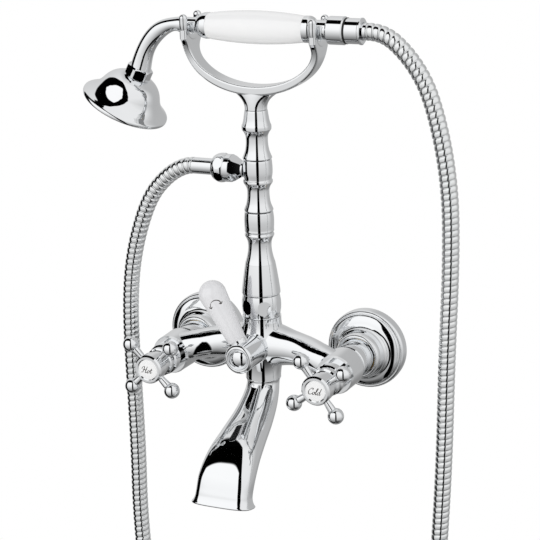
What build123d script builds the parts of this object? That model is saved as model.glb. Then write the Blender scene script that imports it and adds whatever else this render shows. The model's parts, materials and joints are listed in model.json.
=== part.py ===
from build123d import *
import math
import os

# Wall-mounted bath mixer with a hand shower on a cradle.
# Frame in millimetres: the wall is the plane y = 0 and the mixer stands out towards -Y,
# +X is to the right, +Z is up, and the origin is midway between the two wall inlets.
# A depth is a distance out from the wall, so a depth d lies at y = -d.

# Driving dimensions
inlet_spacing = 150.0
column_depth = 53.6
hose_d = 14.0
hose_bore_d = 8.4

# Wall inlets
thread_half_inch_r = 10.48
thread_three_quarter_r = 13.2
union_bore_r = 7.5
union_end = 40.0
union_tail = 20.0
flange_r = 34.25
flange_depth = 30.0
nut_start = 27.5
nut_lip = 45.4
body_start = 52.0
union_nut_r = 15.4
washer_t = 2.0

# Body casting
valve_tube_r = 16.8
valve_tube_end = 80.0
cartridge_r = 11.0
cartridge_start = 62.0
tower_top = 36.0
tower_foot = -18.0
tower_foot_r = 14.8
spigot_r = 12.4
spigot_top = 45.0
column_bore_r = 5.0
waterway_r = 5.5

# Valve handles
shroud_r = 13.0
shroud_end = 93.0
handle_start = 93.5
cross_depth = 112.5
handle_end = 116.0
button_depth = 119.5
hub_r = 12.0
hub_cavity = 109.0
ball_circle_r = 25.9
ball_r = 6.6
spindle_r = 4.0
index_r = 8.5
cross_turn = {"hot": 45.0, "cold": 34.5}

# Diverter
diverter_z = 12.0
diverter_bore_r = 9.5
diverter_hub_r = 12.4
diverter_hub_start = 75.0
diverter_hub_end = 101.0
diverter_face = 105.0
lever_depth = 89.0
lever_lean = 29.0
lever_tip = 68.2
lever_tip_r = 11.5
lever_foot_r = 7.7
stud_r = 3.0

# Column, by height
column_nut_r = 16.4
column_collar_t = 3.0
column_foot = 55.0
lower_joint = 125.9
upper_joint = 169.5
fork_joint = 210.6
joint_spigot_r = 6.5
joint_spigot = 8.0
o_ring_t = 1.5
upper_spigot = 2.4
fork_spigot_r = 5.0

# Hose outlet on the column, by distance from the column's axis
outlet_z = 160.0
outlet_tail_r = 4.4
outlet_seat_r = 6.6
outlet_seat = 11.6
outlet_flare = (13.0, 22.9)
outlet_ring_end = 27.0
outlet_thread_end = 33.9
outlet_nut_end = 39.6
outlet_thread_r = 9.6
hose_start = 57.7
hose_washer_t = 1.5
hose_flange_t = 1.5

# Cradle and handset, with the handset's axis along X
handset_z = 276.8
bow_centre_z = 262.0
bow_outer = (59.3, 39.4)
bow_inner = (53.3, 31.8)
bow_depth = 16.0
bow_edge_r = 1.8
yoke_foot = 247.0
yoke_shoulder = 267.0
yoke_half_width = 15.2
prong_r = 3.3
prong_spread = 12.8
prong_x = 56.3
prong_top = 287.0
neck_r = 6.25
inlet_tube_r = 7.75
saddle_gap = 0.6
grip_ends = (-41.5, 47.4)
grip_end_r = 10.4
grip_middle_r = 13.3
grip_bore_r = 4.5
grip_spigot_r = 9.6
ferrule_ends = (-49.5, 53.0)
ferrule_seat = 1.25
core_r = 4.0
inlet_collar = (65.0, 79.6)
inlet_collar_r = 11.2
inlet_thread_r = 9.0
inlet_end = 88.0
hose_nut_end = 93.8
hose_end = 97.3

# Neck sections as X, height and radius, from the grip to the rose nut, and the rose
neck_sections = [
    (-49.5, 276.8, 6.25), (-66.0, 276.8, 6.25), (-82.3, 272.8, 6.7), (-95.5, 260.0, 7.3),
    (-100.9, 249.4, 7.9), (-103.6, 240.3, 8.8)]
rose_tilt = 27.5
rose_nut_height = 9.5
rose_r = 37.2
rose_height = 38.0
rose_wall = 1.8
rose_plate_t = 1.8
rose_seal_width = 3.2
spray_holes = {10.0: 6, 19.0: 12, 28.0: 18}

# Spout sections: depth, height, tilt forward from straight down, width, thickness, corner radius
spout_wall = 2.4
spout_spigot_r = 10.6
spout_spigot_top = -6.0
spout_sections = [
    (53.6, -18.4, 0.0, 29.0, 29.0, 14.3),
    (54.6, -22.0, 6.0, 25.6, 25.6, 12.6),
    (57.6, -28.0, 24.0, 24.6, 24.6, 12.1),
    (64.5, -37.0, 46.0, 25.4, 26.0, 12.2),
    (77.5, -47.0, 60.0, 28.5, 25.6, 11.5),
    (99.0, -57.5, 62.0, 33.5, 25.0, 10.0),
    (118.0, -67.5, 50.0, 38.5, 25.5, 8.0),
    (131.0, -80.5, 28.0, 42.0, 25.0, 6.0),
    (136.5, -91.0, 15.0, 44.2, 22.5, 4.8),
    (139.0, -98.5, 12.0, 48.0, 24.0, 5.0),
    (139.6, -101.8, 12.0, 50.4, 25.0, 5.5)]

os.makedirs("parts", exist_ok=True)


def save(name, solid):
    """Write one piece to its own file."""
    solid.label = name
    export_step(solid, "parts/" + name + ".step")


def turned(start, *steps):
    """Solid of revolution about Z from an outline of (radius, height) points.

    A step is the next point, or a pair (point on the way, next point) for an arc.
    """
    edges = []
    here = start
    for step in steps:
        if isinstance(step[0], tuple):
            way, there = step
            edges.append(ThreePointArc((here[0], 0, here[1]), (way[0], 0, way[1]), (there[0], 0, there[1])))
        else:
            there = step
            edges.append(Line((here[0], 0, here[1]), (there[0], 0, there[1])))
        here = there
    edges.append(Line((here[0], 0, here[1]), (start[0], 0, start[1])))
    return revolve(Face(Wire(edges)), Axis.Z)


def dome(radius, low, high):
    """Arc of a spherical crown from a rim to the axis, as a way point and an end for an outline."""
    rise = high - low
    crown_r = (radius ** 2 + rise ** 2) / (2 * rise)
    return (radius / 2, high - crown_r + math.sqrt(crown_r ** 2 - radius ** 2 / 4)), (0, high)


def rod(radius, low, high):
    """Plain round bar about Z between two heights."""
    return Pos(0, 0, low) * Cylinder(radius, high - low, align=(Align.CENTER, Align.CENTER, Align.MIN))


def sleeve(outer_r, inner_r, low, high):
    """Plain ring or tube about Z between two heights."""
    return turned((inner_r, low), (outer_r, low), (outer_r, high), (inner_r, high))


def out_from_wall(x, z=0.0):
    """Place a piece made about Z so that its height becomes a depth from the wall."""
    return Pos(x, 0, z) * Rot(90, 0, 0)


def at_both_inlets(piece):
    """The same small piece at each inlet, as a group of separate solids."""
    return out_from_wall(-inlet_spacing / 2) * piece + out_from_wall(inlet_spacing / 2) * piece


def on_column():
    """Place a piece made about Z on the column's axis."""
    return Pos(0, -column_depth, 0)


def on_outlet():
    """Place a piece made about Z so that its height runs from the column towards -X."""
    return Pos(0, -column_depth, outlet_z) * Rot(0, -90, 0)


def on_handset():
    """Place a piece made about Z so that its height becomes an X on the handset's axis."""
    return Pos(0, -column_depth, handset_z) * Rot(0, 90, 0)


# Wall inlets

def wall_union():
    """Straight union: a half-inch tail in the wall, a stop collar and a three-quarter-inch nose."""
    stop_collar = 4.0
    return turned(
        (union_bore_r, -union_tail), (thread_half_inch_r, -union_tail), (thread_half_inch_r, 0),
        (14.5, 0), (14.5, stop_collar), (thread_three_quarter_r, stop_collar),
        (thread_three_quarter_r, union_end), (union_bore_r, union_end))


def wall_flange():
    """Cover screwed on the union: half-round rim, hollow bell and rolled collar."""
    return turned(
        (31.5, 0), ((flange_r, 8.0), (30.3, 14.8)), (29.6, 13.8), ((24.2, 15.6), (20.0, 19.8)),
        ((19.4, 26.0), (17.0, flange_depth)), (16.1, flange_depth), (16.1, 24.0),
        (thread_three_quarter_r, 24.0), (thread_three_quarter_r, 20.0), (28.5, 10.0), (28.5, 0))


def union_nut():
    """Smooth nut on the union, whose lip draws the body's collar against the washer."""
    chamfer = 1.0
    end = body_start - 0.6
    return turned(
        (thread_three_quarter_r + 0.03, nut_start), (union_nut_r, nut_start), (union_nut_r, end - chamfer),
        (union_nut_r - chamfer, end), (11.7, end), (11.7, nut_lip), (thread_three_quarter_r + 0.03, nut_lip))


def union_washer():
    """Flat fibre washer between the union and the body."""
    return sleeve(thread_three_quarter_r - 0.2, union_bore_r, union_end, union_end + washer_t)


# Body casting

def valve_tube():
    """One end of the body: collar and neck for the union nut, then the stout valve tube."""
    return turned(
        (0, union_end + washer_t), (13.0, union_end + washer_t), (13.0, nut_lip), (11.4, nut_lip),
        (11.4, body_start), (14.6, body_start), ((16.2, 54.0), (valve_tube_r, 58.0)),
        (valve_tube_r - 0.4, valve_tube_end - 2.4), (valve_tube_r - 1.4, valve_tube_end), (0, valve_tube_end))


def arm(side):
    """Arched arm from the tower to one valve tube, widest where it leaves the tower."""
    # distance along X, depth, height, radius
    stations = [(8.0, 53.6, 11.0, 18.4), (17.0, 53.8, 11.0, 17.2), (27.0, 54.6, 10.4, 14.8),
                (42.0, 57.5, 9.2, 13.2), (56.0, 63.5, 7.0, 12.8), (66.0, 66.0, 4.4, 12.8),
                (75.0, 67.0, 1.8, 12.4)]
    sections = []
    for index, (x, depth, z, radius) in enumerate(stations):
        before = stations[max(index - 1, 0)]
        after = stations[min(index + 1, len(stations) - 1)]
        along = Vector(side * (after[0] - before[0]), before[1] - after[1], after[2] - before[2])
        plane = Plane(origin=(side * x, -depth, z), x_dir=(0, 0, 1), z_dir=along)
        sections.append(plane * Circle(radius))
    return loft(sections)


def tower():
    """Upright centre of the body, waisted up to the nut, with a threaded spigot on top."""
    return on_column() * turned(
        (0, tower_foot), (tower_foot_r, tower_foot), ((16.2, -7.0), (19.6, 3.0)),
        ((20.4, 12.0), (18.4, 22.0)),
        ((16.8, 27.5), (16.3, tower_top)), (spigot_r, tower_top), (spigot_r, spigot_top), (0, spigot_top))


def valve_bores(side):
    """Waterway from the union to the cartridge's seat, and the way on to the diverter."""
    bore = turned(
        (0, union_end), (union_bore_r, union_end), (union_bore_r, cartridge_start - washer_t),
        (cartridge_r, cartridge_start - washer_t), (cartridge_r, valve_tube_end + 1), (0, valve_tube_end + 1))
    start = Vector(side * (inlet_spacing / 2 - 5.0), -56.5, 3.5)
    run = Vector(side * 6.0, -column_depth, diverter_z - 1.0) - start
    return out_from_wall(side * inlet_spacing / 2) * bore + Plane(origin=start, z_dir=run) * rod(
        waterway_r, 0, run.length)


def body():
    """Body casting with its waterways, valve seats and diverter bore."""
    boss = rod(diverter_hub_r + 0.6, column_depth, diverter_hub_start - 0.4)
    solid = tower() + out_from_wall(0, diverter_z) * boss
    for side in (-1, 1):
        solid += out_from_wall(side * inlet_spacing / 2) * valve_tube()
        solid += arm(side)
    for side in (-1, 1):
        solid -= valve_bores(side)
    solid -= on_column() * rod(column_bore_r, -5.0, spigot_top)
    solid -= on_column() * rod(spout_spigot_r, tower_foot, -4.0)
    return solid - out_from_wall(0, diverter_z) * rod(diverter_bore_r, column_depth - 8.0, diverter_hub_start)


# Valves and cross handles

def cartridge():
    """Ceramic disc cartridge: body in the tube, bonnet above it and a bore for the spindle."""
    bonnet_r = 10.4
    top = shroud_end - 1.0
    return turned(
        (0, cartridge_start), (cartridge_r, cartridge_start), (cartridge_r, valve_tube_end),
        (bonnet_r, valve_tube_end),
        (bonnet_r, top), (spindle_r + 0.08, top), (spindle_r + 0.08, 70.0), (0, 70.0))


def cartridge_seal():
    """Rubber seal under the cartridge."""
    return sleeve(cartridge_r, union_bore_r - 1.0, cartridge_start - washer_t, cartridge_start)


def spindle():
    """Spindle that the handle turns, with a flat for its grip and a hole for the screw."""
    flat = Pos(0, spindle_r + 0.8, 104.0) * Box(12, 4, 10.1)
    return rod(spindle_r, 70.2, hub_cavity) - flat - rod(1.6, 101.0, hub_cavity)


def valve_shroud():
    """Polished sleeve over the bonnet."""
    return turned(
        (10.5, valve_tube_end), (shroud_r, valve_tube_end), (shroud_r, shroud_end - 1.2),
        (shroud_r - 1.2, shroud_end), (10.5, shroud_end))


def cross_handle(turn):
    """Cross handle: stepped hub, four flared arms and four balls."""
    waist_r = hub_r - 1.4
    handle = turned(
        (0, handle_start), (10.8, handle_start), (hub_r, handle_start + 1.5), (hub_r, handle_start + 5.0),
        (waist_r, handle_start + 6.0), (waist_r, cross_depth - 6.0), (hub_r, cross_depth - 4.0),
        (hub_r, handle_end), (0, handle_end))
    ball_neck = ball_circle_r - 5.0
    bar = turned(
        (0, 8.0), (2.5, 8.0), (3.4, ball_neck - 1.2), (3.4, ball_neck), (2.4, ball_neck),
        (2.4, ball_circle_r - 4.0), (0, ball_circle_r - 4.0))
    bar += Pos(0, 0, ball_circle_r) * Sphere(ball_r)
    for quarter in range(4):
        handle += Pos(0, 0, cross_depth) * Rot(0, 0, turn + 90 * quarter) * Rot(0, 90, 0) * bar
    return handle - rod(index_r, hub_cavity, handle_end) - rod(spindle_r, handle_start, hub_cavity)


def handle_screw():
    """Screw that holds the handle on the spindle."""
    return rod(1.6, 101.0, hub_cavity) + rod(4.6, hub_cavity, 111.5)


def index_ring():
    """Rounded ring that holds the porcelain index in the hub."""
    face = button_depth - 0.7
    return turned(
        (index_r, handle_end), (12.3, handle_end), (12.3, button_depth - 1.4), (11.0, button_depth),
        (9.3, button_depth), (index_r, face))


def index_disc():
    """Slightly domed porcelain disc in the ring."""
    edge = button_depth - 0.7
    return turned(
        (0, handle_end - 2.0), (index_r, handle_end - 2.0), (index_r, edge),
        dome(index_r, edge, button_depth))


# Diverter

def diverter_cartridge():
    """Carrier of the diverter discs, sealed in the body's bore."""
    return turned(
        (0, column_depth + 6.0), (diverter_bore_r, column_depth + 6.0), (diverter_bore_r, 74.4), (7.6, 74.4),
        (7.6, 80.0), (spindle_r + 0.08, 80.0), (spindle_r + 0.08, 66.0), (0, 66.0))


def diverter_spindle():
    """Spindle between the diverter discs and the hub."""
    return rod(spindle_r, 66.2, 94.0) - rod(1.6, 86.0, 94.0)


def lever_place():
    """Place a piece made about Z on the lever's line, out of the hub's axis."""
    return Pos(0, 0, lever_depth) * Rot(0, 0, 90 + lever_lean) * Rot(0, 90, 0)


def diverter_hub():
    """Cylindrical hub that turns with the lever, with a round pad under it."""
    chamfer = 0.8
    hub = turned(
        (0, diverter_hub_start), (diverter_hub_r - chamfer, diverter_hub_start),
        (diverter_hub_r, diverter_hub_start + chamfer), (diverter_hub_r, diverter_hub_end),
        (0, diverter_hub_end))
    hub += lever_place() * rod(lever_foot_r + 0.3, 4.0, diverter_hub_r + 1.2)
    hub -= rod(9.0, 94.0, diverter_hub_end)
    hub -= rod(spindle_r, 80.0, 94.0) + rod(8.0, diverter_hub_start, 81.0)
    return hub - lever_place() * rod(stud_r, spindle_r + 1.5, diverter_hub_r + 2)


def diverter_cap():
    """Domed end cap with a ring groove, pressed into the hub."""
    return turned(
        (0, 98.0), (9.0, 98.0), (9.0, diverter_hub_end), (diverter_hub_r, diverter_hub_end),
        (diverter_hub_r, diverter_hub_end + 1.2), (10.4, diverter_face - 1.2), (9.2, diverter_face - 1.2),
        (8.6, diverter_face - 2.0), (8.0, diverter_face - 1.2), dome(8.0, diverter_face - 1.2, diverter_face))


def diverter_screw():
    """Screw that holds the hub on the spindle."""
    return rod(1.6, 86.0, 94.0) + rod(4.6, 94.0, 96.5)


def lever_stud():
    """Threaded stud between the hub and the porcelain lever."""
    return rod(stud_r, spindle_r + 1.5, 34.0)


def diverter_lever():
    """Porcelain lever: narrow foot, swelling to a round tip."""
    foot = diverter_hub_r + 1.2
    tip_centre = lever_tip - lever_tip_r
    slope = math.radians(45)
    lever = turned(
        (0, foot), (lever_foot_r, foot), ((9.6, 36.0), (lever_tip_r, tip_centre)),
        ((lever_tip_r * math.sin(slope), tip_centre + lever_tip_r * math.cos(slope)), (0, lever_tip)))
    return lever - rod(stud_r, foot, 34.5)


# Column

def spot_faces(distance, middle, radius, turn):
    """Six round cutters that leave a round flat on each side of a bulged nut."""
    cutter = Pos(distance, 0, middle) * Rot(0, 90, 0) * rod(radius, 0, 5)
    return [Rot(0, 0, 60 * side + turn) * cutter for side in range(6)]


def column_nut():
    """Bulged nut with six round flats that clamps the column on the body."""
    low = tower_top + 0.2
    middle = (low + column_foot) / 2
    lip = spigot_top + washer_t + column_collar_t
    end_r = 15.2
    bore_r = 10.6
    nut = turned(
        (spigot_r, low), (end_r, low), ((column_nut_r, middle), (end_r, column_foot)),
        (bore_r, column_foot), (bore_r, lip), (spigot_r, lip))
    return nut - spot_faces(15.5, middle, 6.2, 3.0)


def column_seal():
    """Seal between the body's spigot and the column."""
    return sleeve(spigot_r - 0.2, column_bore_r, spigot_top, spigot_top + washer_t)


def column_lower():
    """Lower column: collar under the nut, long cone, waist, double ring and barrel."""
    base = spigot_top + washer_t
    collar = base + column_collar_t
    return turned(
        (column_bore_r, base), (12.2, base), (12.2, collar), (10.5, collar), (10.5, column_foot),
        (16.1, column_foot), (16.1, 57.5), ((14.4, 70.0), (12.5, 81.8)), ((9.7, 91.8), (9.7, 100.3)),
        (12.0, 105.4), (12.0, 107.2), (11.2, 108.0), (12.0, 108.8), (12.0, 111.2),
        ((12.4, 119.0), (11.6, lower_joint)), (joint_spigot_r, lower_joint),
        (joint_spigot_r, lower_joint + joint_spigot), (column_bore_r, lower_joint + joint_spigot))


def column_tee():
    """Middle column with the hose outlet's socket: waist, ring and barrel."""
    socket_end = lower_joint + joint_spigot + o_ring_t
    seat = upper_joint - upper_spigot
    bore_end = seat - 2.5
    tee = turned(
        (joint_spigot_r, lower_joint), (11.6, lower_joint), (12.0, lower_joint + 1.2),
        ((9.2, 136.5), (9.3, 144.5)),
        (12.0, 149.9), (12.0, 152.4), (11.4, 153.2), ((12.2, 161.0), (11.6, upper_joint)),
        (joint_spigot_r, upper_joint), (joint_spigot_r, seat), (0, seat), (0, bore_end),
        (column_bore_r, bore_end), (column_bore_r, socket_end), (joint_spigot_r, socket_end))
    across = Pos(0, 0, outlet_z) * Rot(0, -90, 0)
    return tee - across * rod(outlet_seat_r, outlet_seat, 14.0) - across * rod(outlet_tail_r, 2.0, 14.0)


def column_upper():
    """Upper column: waist and ring, with a spigot at each end."""
    return turned(
        (0, upper_joint - upper_spigot), (joint_spigot_r, upper_joint - upper_spigot),
        (joint_spigot_r, upper_joint),
        (11.6, upper_joint), (12.0, upper_joint + 1.2), ((9.1, 180.3), (9.2, 188.8)), (12.0, 194.0),
        (12.0, 198.0),
        (11.2, 199.2), (9.3, fork_joint), (fork_spigot_r, fork_joint),
        (fork_spigot_r, fork_joint + joint_spigot), (0, fork_joint + joint_spigot))


def column_o_ring():
    """O-ring above the lower column's spigot."""
    low = lower_joint + joint_spigot
    return sleeve(joint_spigot_r, column_bore_r, low, low + o_ring_t)


# Hose outlet and hose fittings

def hose_outlet():
    """Faceted nipple screwed into the column: base ring, hexagonal flare, ring and thread."""
    tail = 5.5
    start, end = outlet_flare
    small = Pos(0, 0, start) * RegularPolygon(6.2, 6, rotation=15)
    large = Pos(0, 0, end) * RegularPolygon(12.3, 6, rotation=15)
    facets = loft([small, large]) & turned((0, start), (5.8, start), ((9.2, 17.2), (11.2, end)), (0, end))
    nipple = rod(outlet_tail_r, tail, start) + rod(outlet_seat_r, outlet_seat, start) + facets
    nipple += rod(11.5, end, outlet_ring_end) + rod(outlet_thread_r, outlet_ring_end, outlet_thread_end)
    return nipple - rod(3.2, tail, outlet_thread_end)


def hose_nut_lower():
    """Bulged hose nut with six round flats."""
    low = outlet_ring_end + 0.2
    lip = outlet_thread_end + hose_washer_t + hose_flange_t
    hose_r = hose_d / 2
    nut = turned(
        (outlet_thread_r, low), (10.8, low), ((12.4, low + 4.6), (11.0, low + 9.0)),
        ((9.7, low + 11.2), (hose_r + 0.8, outlet_nut_end)), (hose_r, outlet_nut_end), (hose_r, lip),
        (outlet_thread_r, lip))
    return nut - spot_faces(11.3, low + 5.4, 4.9, -1.0)


def hose_nut_upper():
    """Hose nut on the handset's inlet, with a bead at its end."""
    thread_r = inlet_thread_r + 0.05
    start = inlet_collar[1] + 1.5
    lip = inlet_end + 0.1 + hose_washer_t + hose_flange_t
    nut_r = 10.1
    bead_r = 10.6
    return turned(
        (thread_r, start), (nut_r, start), (nut_r, 91.6), (bead_r, 92.1), (bead_r, 93.1), (9.6, hose_nut_end),
        (hose_d / 2, hose_nut_end), (hose_d / 2, lip), (thread_r, lip))


def hose_washer(low):
    """Rubber washer in a hose nut."""
    return sleeve(inlet_thread_r, hose_bore_d / 2, low, low + hose_washer_t)


def hose_ferrule(washer_start, end):
    """Crimped sleeve on the hose's end, with the flange that its nut draws up on the washer."""
    sleeve_r = hose_d / 2 - 0.2
    flange_r = inlet_thread_r
    low = washer_start + hose_washer_t
    high = low + hose_flange_t
    return turned(
        (hose_bore_d / 2, low), (flange_r, low), (flange_r, high), (sleeve_r, high), (sleeve_r, end),
        (hose_bore_d / 2, end))


# Cradle

def saddle_z(tube_r):
    """Height of the centre of the round saddle that a tube of the handset lies in."""
    return handset_z - tube_r - saddle_gap + prong_spread - prong_r


def seen_from_side(x):
    """Plane across the handset at one X, with its own axes along Y and Z."""
    return Plane(origin=(x, -column_depth, 0), x_dir=(0, 1, 0), z_dir=(1, 0, 0))


def web_top(tube_r):
    """Height where the side of the yoke's web runs into the outside of the bent bar."""
    return saddle_z(tube_r) - math.sqrt((prong_spread + prong_r) ** 2 - yoke_half_width ** 2)


def bow_band():
    """Flat half-oval band with a straight leg at each end, as deep as the prongs stand apart."""
    reach = prong_spread + prong_r
    plane = Plane(origin=(0, reach - column_depth, bow_centre_z), x_dir=(1, 0, 0), z_dir=(0, -1, 0))
    leg_height = web_top(neck_r) - bow_centre_z
    outer_x, outer_z = bow_outer
    inner_x, inner_z = bow_inner
    band = Face(Wire([
        Line((-outer_x, leg_height), (-outer_x, 0)),
        EllipticalCenterArc((0, 0), outer_x, outer_z, 180, arc_size=180),
        Line((outer_x, 0), (outer_x, leg_height)),
        Line((outer_x, leg_height), (inner_x, leg_height)),
        Line((inner_x, leg_height), (inner_x, 0)),
        EllipticalCenterArc((0, 0), inner_x, inner_z, 180, arc_size=180),
        Line((-inner_x, 0), (-inner_x, leg_height)),
        Line((-inner_x, leg_height), (-outer_x, leg_height))]))
    return extrude(plane * band, 2 * reach)


def yoke_outline(tube_r):
    """Side outline of one half of the cradle: narrow bow, flared shoulders and the seat of the bent bar."""
    foot = bow_depth / 2
    low = fork_joint
    top = web_top(tube_r)
    rise = saddle_z(tube_r) - top
    seat = math.sqrt(prong_spread ** 2 - rise ** 2)
    flare = (foot + 2.1, 258.5)
    return Face(Wire([
        Line((-foot, low), (foot, low)),
        Line((foot, low), (foot, yoke_foot)),
        ThreePointArc((foot, yoke_foot), flare, (yoke_half_width, yoke_shoulder)),
        Line((yoke_half_width, yoke_shoulder), (yoke_half_width, top)),
        Line((yoke_half_width, top), (seat, top)),
        ThreePointArc((seat, top), (0, top + rise - prong_spread), (-seat, top)),
        Line((-seat, top), (-yoke_half_width, top)),
        Line((-yoke_half_width, top), (-yoke_half_width, yoke_shoulder)),
        ThreePointArc((-yoke_half_width, yoke_shoulder), (-flare[0], flare[1]), (-foot, yoke_foot)),
        Line((-foot, yoke_foot), (-foot, low))]))


def prongs(side, tube_r):
    """Round bar bent to a U, whose hollow is the saddle and whose ends are the prongs."""
    plane = seen_from_side(side * prong_x)
    rim = saddle_z(tube_r)
    top = prong_top - prong_r
    path = Wire([
        Line((-prong_spread, top), (-prong_spread, rim)),
        ThreePointArc((-prong_spread, rim), (0, rim - prong_spread), (prong_spread, rim)),
        Line((prong_spread, rim), (prong_spread, top))])
    start = Pos(side * prong_x, -column_depth - prong_spread, top)
    bar = sweep(start * Circle(prong_r), path=plane * path)
    for end in (-1, 1):
        bar += Pos(side * prong_x, -column_depth + end * prong_spread, top) * Sphere(prong_r)
    return bar


def fork():
    """Cradle: flared stem, and a flat bow that widens at each end into a yoke grooved for its bent bar."""
    reach = bow_outer[0] + 1.0
    left = extrude(seen_from_side(-reach) * yoke_outline(neck_r), reach)
    right = extrude(seen_from_side(0) * yoke_outline(inlet_tube_r), reach)
    bow = bow_band() & (left + right)
    near_faces = bow_depth / 2 - 0.2
    shortest = 5.0
    rims = [edge for edge in bow.edges()
            if abs(edge.center().Y + column_depth) > near_faces and edge.length > shortest
            and abs(edge.tangent_at(0.5).X) < 0.9]
    bow = fillet(rims, bow_edge_r)
    stem_sections = [(fork_joint, 9.2, 9.2), (216.0, 10.4, 8.9), (221.0, 14.5, 8.4), (227.0, 24.0, 7.4)]
    stem = on_column() * loft([Pos(0, 0, z) * Ellipse(half_x, half_y) for z, half_x, half_y in stem_sections])
    cradle = bow + stem - prongs(-1, neck_r) - prongs(1, inlet_tube_r)
    return cradle - on_column() * rod(fork_spigot_r, fork_joint, fork_joint + joint_spigot + 0.5)


# Handset

def handset_inlet():
    """Inlet behind the grip: tube through the cradle, collar, O-ring groove and thread."""
    tube_start = grip_ends[1]
    left, right = inlet_collar
    bevel = 1.2
    seat_r = inlet_tube_r - ferrule_seat
    return turned(
        (core_r, tube_start), (seat_r, tube_start), (seat_r, ferrule_ends[1]),
        (inlet_tube_r, ferrule_ends[1]),
        (inlet_tube_r, left), (inlet_collar_r - bevel, left), (inlet_collar_r, left + bevel),
        (inlet_collar_r, right - bevel), (inlet_collar_r - bevel, right), (inlet_thread_r, right),
        (inlet_thread_r, inlet_end), (core_r, inlet_end))


def inlet_o_ring():
    """Black O-ring between the collar and the hose nut."""
    return sleeve(10.4, inlet_thread_r, inlet_collar[1], inlet_collar[1] + 1.3)


def handset_core():
    """Tube through the grip that carries the water and clamps the ferrules."""
    return sleeve(core_r, 3.0, -56.0, 60.0)


def grip_ferrule(end, inner, skirt_end, tube_r):
    """Bell-shaped ferrule, given as if it closed the grip's end towards greater heights."""
    way = ((tube_r + grip_end_r) / 2 + 0.9, (end + inner) / 2 + 0.9)
    seat_r = tube_r - ferrule_seat
    return turned(
        (grip_spigot_r, skirt_end), (grip_end_r + 0.3, skirt_end), (grip_end_r + 0.3, inner),
        (way, (tube_r + 0.4, end)), (seat_r, end), (seat_r, inner), (grip_spigot_r, inner))


def handset_grip():
    """Porcelain grip, thickest in the middle, with a spigot for each ferrule."""
    left, right = grip_ends
    spigot = 2.3
    middle = (left + right) / 2
    return turned(
        (grip_bore_r, left), (grip_spigot_r, left), (grip_spigot_r, left + spigot),
        (grip_end_r, left + spigot),
        ((grip_middle_r, middle), (grip_end_r, right - spigot)), (grip_spigot_r, right - spigot),
        (grip_spigot_r, right), (grip_bore_r, right))


def neck_end():
    """Plane at the neck's lower end, looking along the rose's axis."""
    x, z, _ = neck_sections[-1]
    lean = math.radians(rose_tilt)
    return Plane(origin=(x, -column_depth, z), x_dir=(0, 1, 0), z_dir=(-math.sin(lean), 0, -math.cos(lean)))


def handset_neck():
    """Bent neck that thickens towards the rose nut."""
    points = [Vector(x, -column_depth, z) for x, z, _ in neck_sections]
    path = Spline(*points[1:], tangents=[(-1, 0, 0), neck_end().z_dir])
    sections = []
    for point, (_, _, radius) in zip(points, neck_sections):
        along = Vector(-1, 0, 0)
        if point.X < points[1].X:
            along = path.tangent_at(path.param_at_point(point))
        sections.append(Plane(origin=point, x_dir=(0, 1, 0), z_dir=along) * Circle(radius))
    tube = loft(sections[:2]) + loft(sections[1:])
    tube += on_handset() * rod(neck_r - ferrule_seat, ferrule_ends[0], grip_ends[0])
    return tube - on_handset() * rod(core_r, -56.0, grip_ends[0])


def rose_nut():
    """Faceted nut that holds the rose on the neck."""
    hexagon = extrude(RegularPolygon(11.6, 6), rose_nut_height)
    return neck_end() * (hexagon & turned(
        (0, 0), (9.6, 0), (11.0, 1.2), (11.0, rose_nut_height - 1.2), (9.8, rose_nut_height),
        (0, rose_nut_height)))


def rose_bell():
    """Hollow bell of the rose: round shoulders, slight waist and a rolled rim."""
    low = rose_nut_height
    rim = rose_height
    inner_r = rose_r - rose_wall
    return neck_end() * turned(
        (0, low), (8.6, low), ((18.8, 12.6), (25.0, 20.8)), ((29.6, 28.0), (inner_r, rim - 4.4)),
        (rose_r, rim - 2.2),
        (rose_r, rim), (inner_r, rim), (inner_r, rim - 3.2), ((28.0, 28.6), (23.2, 21.4)),
        ((17.6, 15.0), (8.0, 12.0)), (0, 12.0))


def rose_seal():
    """Seal between the rim and the spray plate."""
    outer_r = rose_r - rose_wall
    return neck_end() * sleeve(outer_r, outer_r - rose_seal_width, rose_height - 3.2, rose_height - 2.2)


def rose_plate():
    """Spray plate with its rings of holes."""
    plate = rod(rose_r - rose_wall, rose_height - 2.2, rose_height - 2.2 + rose_plate_t)
    for radius, count in spray_holes.items():
        for index in range(count):
            hole = Pos(radius, 0, rose_height - 3.0) * extrude(RegularPolygon(0.9, 4), 4)
            plate -= Rot(0, 0, 360 * index / count) * hole
    return neck_end() * plate


# Spout

def spout_section(section, inset):
    """Rounded rectangle across the spout, drawn in by a wall thickness."""
    depth, z, tilt, width, thickness, corner = section
    lean = math.radians(tilt)
    plane = Plane(origin=(0, -depth, z), x_dir=(1, 0, 0), z_dir=(0, -math.sin(lean), -math.cos(lean)))
    return plane * RectangleRounded(width - 2 * inset, thickness - 2 * inset, max(corner - inset, 1.0))


def spout():
    """Swept spout, round at the body and opening to a wide rectangular mouth with a turned-out lip."""
    outside = loft([spout_section(section, 0) for section in spout_sections])
    inside = loft([spout_section(section, spout_wall) for section in spout_sections[2:]])
    spigot = on_column() * rod(spout_spigot_r, spout_sections[0][1], spout_spigot_top)
    return outside + spigot - inside - on_column() * rod(8.0, -30.5, spout_spigot_top)


def spout_seal():
    """Seal between the spout's spigot and the body."""
    return on_column() * sleeve(spout_spigot_r, column_bore_r, spout_spigot_top, -4.0)


# Hose

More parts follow.
